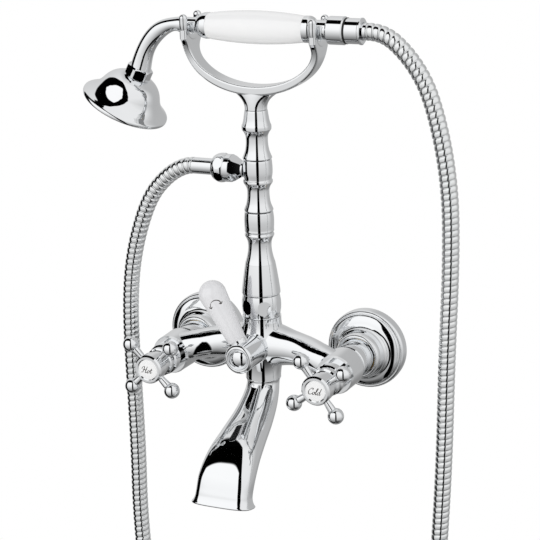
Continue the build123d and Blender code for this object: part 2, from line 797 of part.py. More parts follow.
# Route in the plane of the column, as (x, z) points from the column outlet to the handset
hose_route = [
    (-hose_start, outlet_z), (-82.7, outlet_z), (-104.8, 148.2), (-118.8, 127.5), (-125.4, 96.0),
    (-128.0, 50.0),
    (-128.0, -14.0), (-126.0, -100.0), (-123.0, -190.0), (-115.5, -273.0), (-100.0, -342.0), (-69.0, -393.0),
    (-24.0, -420.0), (30.0, -420.0), (80.0, -393.0), (118.0, -342.0), (140.5, -273.0), (153.0, -190.0),
    (161.0, -95.0), (166.0, 0.0), (168.5, 95.0), (168.0, 166.0), (165.0, 213.0), (158.4, 244.3),
    (144.4, 265.1), (122.3, handset_z), (hose_end, handset_z)]
hose_ribs = 180


def hose_path():
    """Straight runs joined by tangent arcs, each as large as its two runs allow."""
    points = [Vector(x, -column_depth, z) for x, z in hose_route]
    radii = []
    for before, corner, after in zip(points, points[1:], points[2:]):
        turn = math.radians((corner - before).get_angle(after - corner))
        shorter = min((corner - before).length, (after - corner).length)
        radii.append(0.45 * shorter / math.tan(turn / 2))
    print("hose radii", [round(radius) for radius in radii])
    return FilletPolyline(*points, radius=radii)


def hose_section(path, distance, radius):
    """Circle across the hose at a distance along it, always turned the same way."""
    place = distance / path.length
    plane = Plane(origin=path.position_at(place), x_dir=(0, 1, 0), z_dir=path.tangent_at(place))
    return plane * Circle(radius)


def shower_hose():
    """Ribbed hose with its bore, in two straight-sided lofts along the route."""
    path = hose_path()
    length = path.length
    plain = hose_d
    pitch = (length - 2 * plain) / hose_ribs
    trough_r = hose_d / 2 - 1.1
    outside = [hose_section(path, 0, trough_r)]
    inside = [hose_section(path, 0, hose_bore_d / 2)]
    for rib in range(hose_ribs):
        start = plain + rib * pitch
        for share, radius in ((0.0, trough_r), (0.2, hose_d / 2), (0.6, hose_d / 2), (0.8, trough_r)):
            outside.append(hose_section(path, start + share * pitch, radius))
        inside.append(hose_section(path, start, hose_bore_d / 2))
    outside.append(hose_section(path, length, trough_r))
    inside.append(hose_section(path, length - plain, hose_bore_d / 2))
    inside.append(hose_section(path, length, hose_bore_d / 2))
    hose = loft(outside, ruled=True) - loft(inside, ruled=True)
    rib_r = hose_d / 2
    slope_share = (rib_r ** 2 + rib_r * trough_r + trough_r ** 2) / 3
    mean_square = 0.4 * rib_r ** 2 + 0.4 * slope_share + 0.2 * trough_r ** 2
    mean_area = math.pi * (mean_square - hose_bore_d ** 2 / 4)
    print("hose length", round(length), "volume", round(hose.volume))
    print("hose section times length", round(mean_area * length))
    return hose


# Pieces

for hand, side in (("hot", -1), ("cold", 1)):
    place = out_from_wall(side * inlet_spacing / 2)
    save(hand + "_wall_union", place * wall_union())
    save(hand + "_wall_flange", place * wall_flange())
    save(hand + "_union_nut", place * union_nut())
    save(hand + "_cartridge", place * cartridge())
    save(hand + "_spindle", place * spindle())
    save(hand + "_valve_shroud", place * valve_shroud())
    save(hand + "_handle", place * cross_handle(cross_turn[hand]))
    save(hand + "_handle_screw", place * handle_screw())
    save(hand + "_index_ring", place * index_ring())
    save(hand + "_index_disc", place * index_disc())

save("union_washers", at_both_inlets(union_washer()))
save("cartridge_seals", at_both_inlets(cartridge_seal()))
save("mixer_body", body())

place = out_from_wall(0, diverter_z)
save("diverter_cartridge", place * diverter_cartridge())
save("diverter_spindle", place * diverter_spindle())
save("diverter_hub", place * diverter_hub())
save("diverter_cap", place * diverter_cap())
save("diverter_screw", place * diverter_screw())
save("lever_stud", place * lever_place() * lever_stud())
save("diverter_lever", place * lever_place() * diverter_lever())

save("spout", spout())
save("spout_seal", spout_seal())

save("column_nut", on_column() * column_nut())
save("column_seal", on_column() * column_seal())
save("column_lower", on_column() * column_lower())
save("column_tee", on_column() * column_tee())
save("column_upper", on_column() * column_upper())
save("column_o_ring", on_column() * column_o_ring())
save("cradle_fork", fork())
save("cradle_prongs_left", prongs(-1, neck_r))
save("cradle_prongs_right", prongs(1, inlet_tube_r))

save("hose_outlet", on_outlet() * hose_outlet())
save("hose_nut_lower", on_outlet() * hose_nut_lower())
save("hose_washer_lower", on_outlet() * hose_washer(outlet_thread_end))
save("hose_ferrule_lower", on_outlet() * hose_ferrule(outlet_thread_end, hose_start))
save("shower_hose", shower_hose())
save("hose_ferrule_upper", on_handset() * hose_ferrule(inlet_end + 0.1, hose_end))
save("hose_washer_upper", on_handset() * hose_washer(inlet_end + 0.1))
save("hose_nut_upper", on_handset() * hose_nut_upper())

save("handset_inlet", on_handset() * handset_inlet())
save("inlet_o_ring", on_handset() * inlet_o_ring())
save("handset_core", on_handset() * handset_core())
save("grip_ferrule_right", on_handset() * grip_ferrule(ferrule_ends[1], grip_ends[1], 45.1, inlet_tube_r))
save("grip_ferrule_left", on_handset() * mirror(
    grip_ferrule(-ferrule_ends[0], -grip_ends[0], 39.2, neck_r), Plane.XY))
save("handset_grip", on_handset() * handset_grip())
save("handset_neck", handset_neck())
save("rose_nut", rose_nut())
save("rose_bell", rose_bell())
save("rose_seal", rose_seal())
save("rose_plate", rose_plate())
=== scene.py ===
"""Looks of a wall-mounted bath mixer: camera, studio, finishes, smooth skins, hose and signs."""
import math

import bmesh
import bpy
import numpy as np
from mathutils import Matrix, Vector
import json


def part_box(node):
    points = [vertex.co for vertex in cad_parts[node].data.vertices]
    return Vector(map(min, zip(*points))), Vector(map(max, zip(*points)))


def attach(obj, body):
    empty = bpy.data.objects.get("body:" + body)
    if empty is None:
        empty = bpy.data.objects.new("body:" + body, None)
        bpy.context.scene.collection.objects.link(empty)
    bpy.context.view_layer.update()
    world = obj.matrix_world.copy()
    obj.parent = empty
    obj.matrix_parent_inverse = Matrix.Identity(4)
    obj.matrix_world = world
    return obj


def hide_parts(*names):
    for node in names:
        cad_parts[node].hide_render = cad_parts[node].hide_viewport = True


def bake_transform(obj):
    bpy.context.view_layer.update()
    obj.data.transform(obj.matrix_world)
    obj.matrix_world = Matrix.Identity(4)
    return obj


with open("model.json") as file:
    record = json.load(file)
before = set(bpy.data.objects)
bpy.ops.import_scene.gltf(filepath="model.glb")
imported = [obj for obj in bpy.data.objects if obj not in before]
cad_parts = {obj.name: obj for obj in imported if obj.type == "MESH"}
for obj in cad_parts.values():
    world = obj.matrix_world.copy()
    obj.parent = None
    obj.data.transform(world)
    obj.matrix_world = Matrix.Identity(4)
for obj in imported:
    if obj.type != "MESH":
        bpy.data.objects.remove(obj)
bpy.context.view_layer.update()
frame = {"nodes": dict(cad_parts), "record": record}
nodes = frame["nodes"]

MM = 0.001
# Points closer than this many metres are one
weld = 1e-6
# Sockets of a Mix node that mixes colours: its two colours and its result
mix_first = 6
mix_second = 7
mix_result = 2

# Camera: the photograph's direction, with its slight turn about the view line
camera_azimuth = math.radians(24.62)
camera_elevation = math.radians(16.19)
camera_roll = math.radians(1.55)
camera_place = Vector((0.5878, -1.3175, 0.4795))
camera_lens = 116.6
sensor = 36.0
# Nearest and farthest that the camera sees, in metres
camera_clip = (0.05, 50.0)

# Even light from all round, which neither the camera nor the chrome sees
soft_light = 0.8
# Soft lamps, in metres and watts: name, place, width, height and power, all aimed at one point
lamp_aim = (0, -0.06, 0.1)
softboxes = [
    ("key_softbox", (-1.2, -1.6, 1.0), 1.2, 1.4, 9.0),
    ("fill_softbox", (1.6, -1.2, 0.6), 1.0, 1.4, 4.0)]
# Floor, in metres: its height, its reach from the middle, and how far it goes past the wall's face
floor_level = -0.5
floor_reach = 1.2
floor_back = 0.4

# Studio that the chrome reflects. Azimuth is in degrees round from the wall's normal, positive to
# the right, and elevation in degrees up from level. An edge on the slanted measure leans, and one
# on the arched measure is highest at the arch's middle and comes down on both sides of it.
straight_down = -90.0
straight_up = 90.0
flag_slant = 0.25
arch_middle = -15.0
arch_curve = 0.008
# Greys are as a screen shows them, so the gamma turns them to light, and the gain sets its level
screen_gamma = 2.2
panel_gain = 1.12
room_greys = [(-90, 0.5), (-30, 0.52), (-18, 0.68), (40, 0.7), (90, 0.9)]
# Panels over the room, each laid on the ones before: its grey by elevation, and its edges as
# (measure, place, soft width), where a negative width ends the panel
studio_panels = [
    # Wall to the left of the left panel
    ([(-90, 0.5), (-30, 0.55), (-15, 0.76), (40, 0.82), (90, 0.9)],
     [("azimuth", -165, 12), ("azimuth", -106, -6)]),
    # Right panel
    ([(-90, 0.15), (-65, 0.2), (-50, 0.4), (-32, 0.7), (-18, 0.75), (-2, 0.85), (12, 0.9),
      (50, 0.91), (90, 0.9)],
     [("azimuth", 33, 1.5), ("azimuth", 120, -20)]),
    # Left panel, the largest
    ([(-90, 0.15), (-70, 0.22), (-60, 0.45), (-40, 0.62), (-32, 0.69), (-18, 0.79), (-2, 0.89),
      (12, 0.96), (30, 0.98), (90, 0.98)],
     [("azimuth", -104, 3), ("azimuth", 13, -1.5)]),
    # Black ceiling, whose edge arches over the left panel
    ([(-90, 0.0), (90, 0.0)],
     [("arched", 60, 2), ("azimuth", -103, 3), ("azimuth", 33, -1.5)]),
    # Black flag between the two panels
    ([(-90, 0.0), (90, 0.0)],
     [("azimuth", 13, 1.5), ("azimuth", 33, -1.5), ("elevation", -65, 4), ("elevation", 60, -4)]),
    # Black flag over the left panel's outer side, whose edge leans
    ([(-90, 0.02), (90, 0.04)],
     [("azimuth", -110, 3), ("slanted", -68, -2)])]

# Patches and waves of the finishes, in millimetres across
plate_drift = 30.0
buffed_patch = 6.0
buffed_wave = 14.0
glaze_drift = 12.0
glaze_patch = 3.0
glaze_wave = 9.0
rubber_patch = 0.8
rubber_grain = 0.5
enamel_patch = 0.6
# Height of the glaze's waves and of the rubber's grain, in millimetres
glaze_relief = 0.02
rubber_relief = 0.02
glaze_ior = 1.52
# Noise lies mostly between these values
noise_low = 0.3
noise_high = 0.7

# Places on the mixer, in millimetres: each inlet's distance from the middle, the distance of the
# column and the hose from the wall, and the height of the diverter's axis
inlet_x = 75.0
column_depth = 53.6
diverter_z = 12.0

# Hose, in millimetres
hose_pitch = 5.0
hose_plane = -column_depth
# Route as (x, z) control points from the column's outlet to the hand shower
hose_route = [
    (-57.7, 160.0), (-64.0, 160.0), (-77.0, 154.0), (-87.9, 145.0), (-97.1, 134.4),
    (-104.4, 121.3), (-111.0, 104.6), (-117.4, 84.0), (-122.4, 59.1), (-125.2, 27.2),
    (-125.5, -10.8), (-124.8, -55.0), (-124.4, -105.0), (-125.6, -160.0), (-122.5, -222.0),
    (-114.5, -280.0), (-99.0, -342.0), (-69.0, -393.0), (-24.0, -420.0), (30.0, -420.0),
    (80.0, -393.0), (118.0, -342.0), (141.0, -273.0), (153.5, -190.0), (158.2, -115.0),
    (160.6, -60.0), (161.8, -10.0), (163.2, 35.0), (164.9, 75.0), (165.6, 112.0), (165.0, 147.0),
    (160.8, 181.5), (154.2, 210.9), (146.8, 233.7), (138.1, 249.4), (127.8, 262.2),
    (116.1, 272.6), (104.5, 276.8), (97.3, 276.8)]
# Section of one turn of the wound band, as (share of the pitch, radius)
hose_band = [
    (0.0, 6.0), (0.06, 6.55), (0.14, 6.86), (0.26, 6.98), (0.42, 7.0), (0.58, 6.98), (0.72, 6.9),
    (0.82, 6.76), (0.88, 6.6), (0.94, 6.3)]
hose_sides = 26
# Turns wound beyond the hose's length, whose ends are cut off
hose_spare_turns = 3
# Steps of the smooth route between two of its points
hose_route_steps = 24

# Spout stations, in millimetres and degrees: depth, height, lean of the section from straight down,
# half width, half thickness, and how square the section is, where 2 is an ellipse
spout_stations = [
    (53.6, -18.4, 0.0, 14.9, 14.9, 2.0), (54.0, -20.5, 3.0, 13.9, 13.9, 2.0),
    (54.6, -23.5, 8.0, 13.7, 13.8, 2.0), (57.3, -30.0, 24.0, 14.2, 14.2, 2.05),
    (64.3, -38.8, 44.0, 15.2, 15.0, 2.1), (77.5, -48.3, 57.0, 16.9, 14.8, 2.2),
    (97.0, -57.8, 59.0, 19.4, 14.3, 2.35), (116.0, -67.6, 49.0, 22.0, 13.9, 2.6),
    (129.5, -79.5, 29.0, 23.5, 13.0, 2.9), (135.4, -90.0, 14.0, 23.6, 12.2, 3.1),
    (137.0, -94.6, 12.0, 24.0, 12.2, 3.1), (137.8, -97.6, 12.0, 25.0, 12.9, 3.1),
    (138.3, -100.0, 12.0, 26.6, 14.0, 3.1)]
spout_lip_r = 1.3
spout_lip_steps = 8
spout_wall = 2.4
# Points round each ring of the spout and the turned pieces, and rings for each span of the spout
ring_sides = 96
spout_steps = 8
# Spans at the spout's root that stay solid
spout_solid_spans = 3

# Profiles of turned pieces, in millimetres as (radius, distance along the axis): an outside that a
# smooth line follows, and a plain inside
flange_outside = [
    (34.0, 0.2), (34.25, 3.0), (34.25, 6.4), (34.0, 8.2), (33.3, 9.6), (32.3, 10.4),
    (31.6, 10.4), (31.2, 11.4), (30.4, 12.3), (29.1, 13.2), (26.5, 14.5), (24.4, 15.2),
    (23.2, 15.8), (21.8, 17.0), (20.7, 19.2), (20.1, 22.4), (19.6, 26.0), (18.7, 28.8),
    (17.3, 30.0), (16.1, 29.4)]
flange_inside = [(16.1, 24.0), (13.4, 23.5), (13.4, 20.0), (28.5, 9.0), (28.5, 0.0), (34.0, 0.2)]
cap_outside = [
    (0.02, 105.0), (2.0, 104.8), (4.0, 104.2), (5.9, 103.1), (7.3, 101.9), (8.0, 101.4),
    (8.5, 102.0), (9.0, 102.9), (9.8, 103.2), (10.7, 102.9), (11.6, 102.1), (12.2, 101.2),
    (12.4, 100.4)]
cap_inside = [(12.38, 99.8), (9.0, 99.8), (0.02, 99.8)]
cone_outside = [
    (15.0, 55.1), (15.9, 55.7), (16.1, 56.8), (15.9, 59.0), (15.2, 64.5), (14.35, 70.5),
    (13.45, 76.3), (12.6, 81.3), (12.4, 82.3), (11.1, 86.6), (10.1, 91.5), (9.7, 96.0),
    (10.0, 100.3), (11.2, 103.7), (12.1, 105.3), (12.2, 106.5), (11.5, 107.6), (11.5, 108.3),
    (12.2, 109.3), (12.1, 111.0), (12.3, 114.5), (12.35, 119.0), (12.0, 123.3), (11.6, 125.3),
    (10.5, 125.7)]
cone_inside = [(6.5, 125.9), (6.5, 55.1), (15.0, 55.1)]
middle_outside = [
    (10.5, 126.1), (11.6, 126.4), (12.05, 127.2), (11.2, 129.5), (10.1, 132.5), (9.4, 136.5),
    (9.15, 140.5), (9.3, 144.5), (10.3, 147.3), (11.6, 149.3), (12.1, 150.2), (12.1, 151.8),
    (11.5, 152.8), (11.6, 154.2), (12.1, 157.5), (12.2, 161.0), (12.05, 165.0), (11.6, 168.9),
    (10.5, 169.3)]
middle_inside = [(6.5, 169.4), (6.5, 126.0), (10.5, 126.1)]
top_outside = [
    (10.5, 169.7), (11.6, 170.0), (12.05, 170.8), (11.0, 173.5), (9.9, 176.8), (9.2, 181.0),
    (9.0, 185.0), (9.3, 189.0), (10.6, 192.0), (11.9, 193.8), (12.15, 195.0), (12.1, 197.3),
    (11.4, 199.0), (10.6, 202.0), (9.9, 206.5), (9.35, 209.9), (8.6, 210.4)]
top_inside = [(5.0, 210.5), (5.0, 169.6), (10.5, 169.7)]
bell_outside = [
    (8.6, 9.5), (12.0, 9.9), (15.6, 11.0), (18.8, 12.8), (21.6, 15.4), (23.6, 18.2),
    (25.0, 20.9), (26.2, 23.6), (27.8, 26.4), (29.8, 28.9), (32.4, 31.3), (35.0, 33.2),
    (36.8, 34.6), (37.3, 35.9), (37.2, 37.2), (36.6, 37.9), (35.6, 38.0)]
bell_inside = [
    (35.4, 34.8), (28.0, 28.6), (23.2, 21.4), (17.6, 15.0), (8.0, 12.0), (0.02, 12.0),
    (0.02, 9.5), (8.6, 9.5)]
# Axes of the turned pieces. The rose's leans from straight down and starts at the neck's end.
out_of_wall = (0.0, -1.0, 0.0)
upwards = (0.0, 0.0, 1.0)
rose_lean = math.radians(27.5)
out_of_rose = (-math.sin(rose_lean), 0.0, -math.cos(rose_lean))
rose_start = (-103.6, -column_depth, 240.3)
column_foot = (0.0, -column_depth, 0.0)
# Turned pieces: name, node that each replaces, its body, a point on its axis, the axis, and its
# profiles
turned_pieces = [
    ("hot_flange_cover", "hot_wall_flange", "mixer", (-inlet_x, 0.0, 0.0), out_of_wall,
     flange_outside, flange_inside),
    ("cold_flange_cover", "cold_wall_flange", "mixer", (inlet_x, 0.0, 0.0), out_of_wall,
     flange_outside, flange_inside),
    ("diverter_domed_cap", "diverter_cap", "diverter", (0.0, 0.0, diverter_z), out_of_wall,
     cap_outside, cap_inside),
    ("column_cone", "column_lower", "mixer", column_foot, upwards, cone_outside, cone_inside),
    ("column_middle", "column_tee", "mixer", column_foot, upwards, middle_outside, middle_inside),
    ("column_top", "column_upper", "mixer", column_foot, upwards, top_outside, top_inside),
    ("rose_shell", "rose_bell", "handset", rose_start, out_of_rose, bell_outside, bell_inside)]

# Pen that draws the signs, in millimetres: the thinnest and thickest stroke, and its edge's slope
pen_thin = 0.3
pen_thick = 0.8
pen_angle = math.radians(35)
# Enamel of the signs, in millimetres: how high its middle lies on the glaze, and its thickness
enamel_lift = 0.03
enamel_thick = 0.06
# How far in front of its piece a sign starts before it is laid on it, in millimetres
disc_gap = 5.0
lever_gap = 20.0
# A small letter's height in millimetres, its lean for each unit of height, and a capital's height
# in heights of a small letter
letter_size = 2.35
letter_slant = 0.32
capital = 2.3
# Letters, in the same heights: the way to the next letter, and strokes through (x, z) points
letter_strokes = {
    "H": (2.15, [
        [(-0.3, 1.35), (-0.15, 1.95), (0.3, 2.3), (0.62, 1.95), (0.6, 1.0), (0.35, 0.15),
         (-0.15, 0.1)],
        [(1.75, 2.3), (1.55, 1.7), (1.42, 0.8), (1.5, 0.1), (1.9, 0.1), (2.15, 0.45)],
        [(0.2, 1.0), (0.6, 1.22), (1.3, 1.08), (1.85, 1.3)]]),
    "C": (1.6, [
        [(1.3, 1.65), (1.42, 2.1), (1.0, 2.3), (0.4, 1.95), (0.0, 1.15), (0.08, 0.35),
         (0.6, 0.0), (1.15, 0.2), (1.6, 0.6)]]),
    "o": (1.0, [
        [(0.45, 1.0), (0.1, 0.8), (0.0, 0.35), (0.28, 0.0), (0.65, 0.2), (0.72, 0.7),
         (0.45, 1.0), (0.7, 0.8), (1.0, 0.85)]]),
    "t": (0.9, [
        [(0.35, 1.75), (0.3, 1.1), (0.22, 0.3), (0.42, 0.0), (0.85, 0.35)],
        [(-0.05, 1.15), (0.7, 1.2)]]),
    "l": (0.75, [
        [(0.0, 0.6), (0.35, 1.3), (0.55, 2.1), (0.35, 2.3), (0.18, 1.7), (0.1, 0.5), (0.3, 0.0),
         (0.75, 0.45)]]),
    "d": (1.2, [
        [(0.75, 0.85), (0.4, 1.0), (0.05, 0.7), (0.0, 0.25), (0.3, 0.0), (0.7, 0.35), (0.8, 0.9)],
        [(0.95, 2.3), (0.82, 1.3), (0.72, 0.35), (0.88, 0.0), (1.25, 0.3)]])}
# Double arrow on the lever, in millimetres across and along the lever
arrow_strokes = [
    [(-4.6, -1.8), (-4.2, 0.6), (-2.4, 2.4), (0.0, 3.0), (2.4, 2.4), (4.2, 0.6), (4.6, -1.8)],
    [(-6.0, -0.4), (-4.7, -2.0), (-3.1, -1.0)],
    [(3.1, -1.0), (4.7, -2.0), (6.0, -0.4)]]
# The arrow's distance from the lever's axis, and its turn about the lever in degrees
arrow_reach = 49.0
arrow_turn = 20.0
# The lever's lean in degrees, and its middle's distance from the wall in millimetres
lever_lean = 29.0
lever_depth = 89.0


def linear(hex_colour):
    """Linear RGBA of an sRGB hex colour."""
    channels = [int(hex_colour[i:i + 2], 16) / 255 for i in (0, 2, 4)]
    return [c / 12.92 if c <= 0.04045 else ((c + 0.055) / 1.055) ** 2.4 for c in channels] + [1.0]


def add_node(tree, kind, values=None, links=None, **settings):
    """Add a node, set its settings and input values, and link its inputs."""
    node = tree.nodes.new(kind)
    for name, value in settings.items():
        setattr(node, name, value)
    for name, value in (values or {}).items():
        node.inputs[name].default_value = value
    for name, source in (links or {}).items():
        tree.links.new(source, node.inputs[name])
    return node


# Camera, light and floor

def place_camera():
    """Camera on the photograph's view line, turned slightly about it."""
    back = Vector((math.sin(camera_azimuth) * math.cos(camera_elevation),
                   -math.cos(camera_azimuth) * math.cos(camera_elevation),
                   math.sin(camera_elevation)))
    right = Vector((math.cos(camera_azimuth), math.sin(camera_azimuth), 0))
    up = back.cross(right)
    turned_right = right * math.cos(camera_roll) - up * math.sin(camera_roll)
    turned_up = right * math.sin(camera_roll) + up * math.cos(camera_roll)
    data = bpy.data.cameras.new("camera")
    data.lens = camera_lens
    data.sensor_width = sensor
    data.clip_start, data.clip_end = camera_clip
    camera = bpy.data.objects.new("camera", data)
    rotation = Matrix((turned_right, turned_up, back)).transposed()
    camera.matrix_world = Matrix.Translation(camera_place) @ rotation.to_4x4()
    bpy.context.scene.collection.objects.link(camera)
    bpy.context.scene.camera = camera


def edge_mask(tree, value, edge, soft):
    """Share that goes from 0 before an edge to 1 past it, over a soft width in degrees.

    A negative width turns it round: 1 before the edge and 0 past it.
    """
    return add_node(tree, "ShaderNodeMapRange", {"From Min": edge - soft, "From Max": edge + soft},
                    {"Value": value}, interpolation_type="SMOOTHSTEP").outputs[0]


def grey_panel(tree, elevation, stops):
    """Grey that changes with elevation, from stops of (degrees, shown grey)."""
    share = add_node(tree, "ShaderNodeMapRange",
                     {"From Min": straight_down, "From Max": straight_up}, {"Value": elevation})
    ramp = add_node(tree, "ShaderNodeValToRGB", links={"Fac": share.outputs[0]})
    elements = ramp.color_ramp.elements
    for height, grey in stops[1:-1]:
        place = (height - straight_down) / (straight_up - straight_down)
        elements.new(place).color = (grey, grey, grey, 1)
    for element, (_, grey) in ((elements[0], stops[0]), (elements[-1], stops[-1])):
        element.color = (grey, grey, grey, 1)
    return ramp.outputs["Color"]


def studio_measures(tree):
    """Azimuth, elevation, and the slanted and arched measures of the direction that a ray takes.

    Azimuth is the arc tangent of its share to the right over its share out of the wall, and
    elevation is the arc sine of its share upwards. Slanted is the elevation times the slant, plus
    the azimuth. Arched is the elevation, plus the curve times the square of the azimuth's distance
    from the arch's middle.
    """
    direction = add_node(tree, "ShaderNodeTexCoord").outputs["Generated"]
    parts = add_node(tree, "ShaderNodeSeparateXYZ", links={"Vector": direction})
    toward = add_node(tree, "ShaderNodeMath", {1: -1.0}, {0: parts.outputs["Y"]},
                      operation="MULTIPLY").outputs[0]
    turn = add_node(tree, "ShaderNodeMath", links={0: parts.outputs["X"], 1: toward},
                    operation="ARCTAN2").outputs[0]
    azimuth = add_node(tree, "ShaderNodeMath", links={0: turn}, operation="DEGREES").outputs[0]
    rise = add_node(tree, "ShaderNodeMath", links={0: parts.outputs["Z"]},
                    operation="ARCSINE").outputs[0]
    elevation = add_node(tree, "ShaderNodeMath", links={0: rise}, operation="DEGREES").outputs[0]
    slanted = add_node(tree, "ShaderNodeMath", {1: flag_slant}, {0: elevation, 2: azimuth},
                       operation="MULTIPLY_ADD").outputs[0]
    aside = add_node(tree, "ShaderNodeMath", {1: -arch_middle}, {0: azimuth},
                     operation="ADD").outputs[0]
    squared = add_node(tree, "ShaderNodeMath", links={0: aside, 1: aside},
                       operation="MULTIPLY").outputs[0]
    arched = add_node(tree, "ShaderNodeMath", {1: arch_curve}, {0: squared, 2: elevation},
                      operation="MULTIPLY_ADD").outputs[0]
    return {"azimuth": azimuth, "elevation": elevation, "slanted": slanted, "arched": arched}


def make_world():
    """White to the camera, even light on the object, and a studio of panels in its reflections."""
    world = bpy.data.worlds.new("studio")
    bpy.context.scene.world = world
    world.use_nodes = True
    tree = world.node_tree
    tree.nodes.clear()
    measures = studio_measures(tree)
    grey = grey_panel(tree, measures["elevation"], room_greys)
    for stops, edges in studio_panels:
        mask, *others = [edge_mask(tree, measures[measure], edge, soft)
                         for measure, edge, soft in edges]
        for side in others:
            mask = add_node(tree, "ShaderNodeMath", links={0: mask, 1: side},
                            operation="MULTIPLY").outputs[0]
        panel = grey_panel(tree, measures["elevation"], stops)
        grey = add_node(tree, "ShaderNodeMix", links={0: mask, mix_first: grey, mix_second: panel},
                        data_type="RGBA").outputs[mix_result]
    plain = add_node(tree, "ShaderNodeGamma", {"Gamma": screen_gamma}, {"Color": grey}).outputs[0]
    light = add_node(tree, "ShaderNodeVectorMath", {1: [panel_gain] * 3}, {0: plain},
                     operation="MULTIPLY").outputs[0]
    ray = add_node(tree, "ShaderNodeLightPath")
    even = add_node(tree, "ShaderNodeMix", {mix_first: [soft_light, soft_light, soft_light, 1]},
                    {0: ray.outputs["Is Glossy Ray"], mix_second: light},
                    data_type="RGBA").outputs[mix_result]
    shown = add_node(tree, "ShaderNodeMix", {mix_second: [1, 1, 1, 1]},
                     {0: ray.outputs["Is Camera Ray"], mix_first: even},
                     data_type="RGBA").outputs[mix_result]
    background = add_node(tree, "ShaderNodeBackground", links={"Color": shown})
    add_node(tree, "ShaderNodeOutputWorld", links={"Surface": background.outputs[0]})


def add_softboxes():
    """Large soft lamps that light the object and don't show in it."""
    for name, place, width, height, power in softboxes:
        data = bpy.data.lights.new(name, "AREA")
        data.shape = "RECTANGLE"
        data.size = width
        data.size_y = height
        data.energy = power
        lamp = bpy.data.objects.new(name, data)
        lamp.location = place
        lamp.rotation_mode = "QUATERNION"
        lamp.rotation_quaternion = (Vector(lamp_aim) - Vector(place)).to_track_quat("-Z", "Y")
        lamp.visible_glossy = False
        bpy.context.scene.collection.objects.link(lamp)


def make_floor():
    """Pale floor below the hose's loop, which takes the shadow and doesn't show in the chrome."""
    mesh = bpy.data.meshes.new("floor")
    corners = [(-floor_reach, -floor_reach, floor_level), (floor_reach, -floor_reach, floor_level),
               (floor_reach, floor_back, floor_level), (-floor_reach, floor_back, floor_level)]
    mesh.from_pydata(corners, [], [(0, 1, 2, 3)])
    floor = bpy.data.objects.new("floor", mesh)
    material = bpy.data.materials.new("matt_white_paint")
    material.use_nodes = True
    tree = material.node_tree
    tree.nodes.clear()
    ray = add_node(tree, "ShaderNodeLightPath")
    paint = add_node(tree, "ShaderNodeBsdfDiffuse", {"Color": linear("f4f4f2")})
    clear = add_node(tree, "ShaderNodeBsdfTransparent")
    both = add_node(tree, "ShaderNodeMixShader", links={
        0: ray.outputs["Is Glossy Ray"], 1: paint.outputs[0], 2: clear.outputs[0]})
    add_node(tree, "ShaderNodeOutputMaterial", links={"Surface": both.outputs[0]})
    mesh.materials.append(material)
    bpy.context.scene.collection.objects.link(floor)


# Materials

def new_material(name):
    """Empty material with a principled shader, and its Object coordinates."""
    material = bpy.data.materials.new(name)
    material.use_nodes = True
    tree = material.node_tree
    tree.nodes.clear()
    shader = add_node(tree, "ShaderNodeBsdfPrincipled")
    add_node(tree, "ShaderNodeOutputMaterial", links={"Surface": shader.outputs[0]})
    return material, tree, shader, add_node(tree, "ShaderNodeTexCoord").outputs["Object"]


def noise(tree, coordinates, grain, detail=2.0):
    """Even noise whose patches are about grain millimetres across."""
    return add_node(tree, "ShaderNodeTexNoise", {"Scale": 1 / (grain * MM), "Detail": detail},
                    {"Vector": coordinates}).outputs["Fac"]


def spread(tree, value, low, high):
    """Map noise to a range."""
    return add_node(tree, "ShaderNodeMapRange",
                    {"From Min": noise_low, "From Max": noise_high, "To Min": low, "To Max": high},
                    {"Value": value}).outputs[0]


def bump(tree, shader, height, distance):
    """Raise the surface by a height map, to a distance in millimetres."""
    relief = add_node(tree, "ShaderNodeBump", {"Strength": 1.0, "Distance": distance * MM},
                      {"Height": height})
    tree.links.new(relief.outputs[0], shader.inputs["Normal"])


def tint(tree, shader, factor, first, second):
    """Body colour that drifts between two sRGB hex values."""
    colour = add_node(tree, "ShaderNodeMix",
                      {mix_first: linear(first), mix_second: linear(second)}, {0: factor},
                      data_type="RGBA")
    tree.links.new(colour.outputs[mix_result], shader.inputs["Base Color"])


def polished_metal(name, first, second, smooth, worn, wave):
    """Metal buffed to a mirror: clean reflections, with slow waves left by hand buffing."""
    material, tree, shader, place = new_material(name)
    tint(tree, shader, noise(tree, place, plate_drift), first, second)
    roughness = spread(tree, noise(tree, place, buffed_patch, detail=4.0), smooth, worn)
    tree.links.new(roughness, shader.inputs["Roughness"])
    shader.inputs["Metallic"].default_value = 1.0
    bump(tree, shader, noise(tree, place, buffed_wave), wave)
    return material


def glazed_porcelain(name, first, second):
    """White fired clay under clear glaze: soft colour, wet highlights, a faintly wavy surface."""
    material, tree, shader, place = new_material(name)
    tint(tree, shader, noise(tree, place, glaze_drift), first, second)
    roughness = spread(tree, noise(tree, place, glaze_patch, detail=3.0), low=0.06, high=0.12)
    tree.links.new(roughness, shader.inputs["Roughness"])
    shader.inputs["IOR"].default_value = glaze_ior
    bump(tree, shader, noise(tree, place, glaze_wave), glaze_relief)
    return material


def moulded_rubber(name, colour):
    """Moulded black rubber: dull, with a fine mould grain."""
    material, tree, shader, place = new_material(name)
    shader.inputs["Base Color"].default_value = linear(colour)
    roughness = spread(tree, noise(tree, place, rubber_patch, detail=3.0), low=0.45, high=0.65)
    tree.links.new(roughness, shader.inputs["Roughness"])
    bump(tree, shader, noise(tree, place, rubber_grain), rubber_relief)
    return material


def printed_enamel(name, colour):
    """Fired enamel print on the glaze: flat, slightly duller colour."""
    material, tree, shader, place = new_material(name)
    shader.inputs["Base Color"].default_value = linear(colour)
    roughness = spread(tree, noise(tree, place, enamel_patch, detail=3.0), low=0.25, high=0.45)
    tree.links.new(roughness, shader.inputs["Roughness"])
    return material


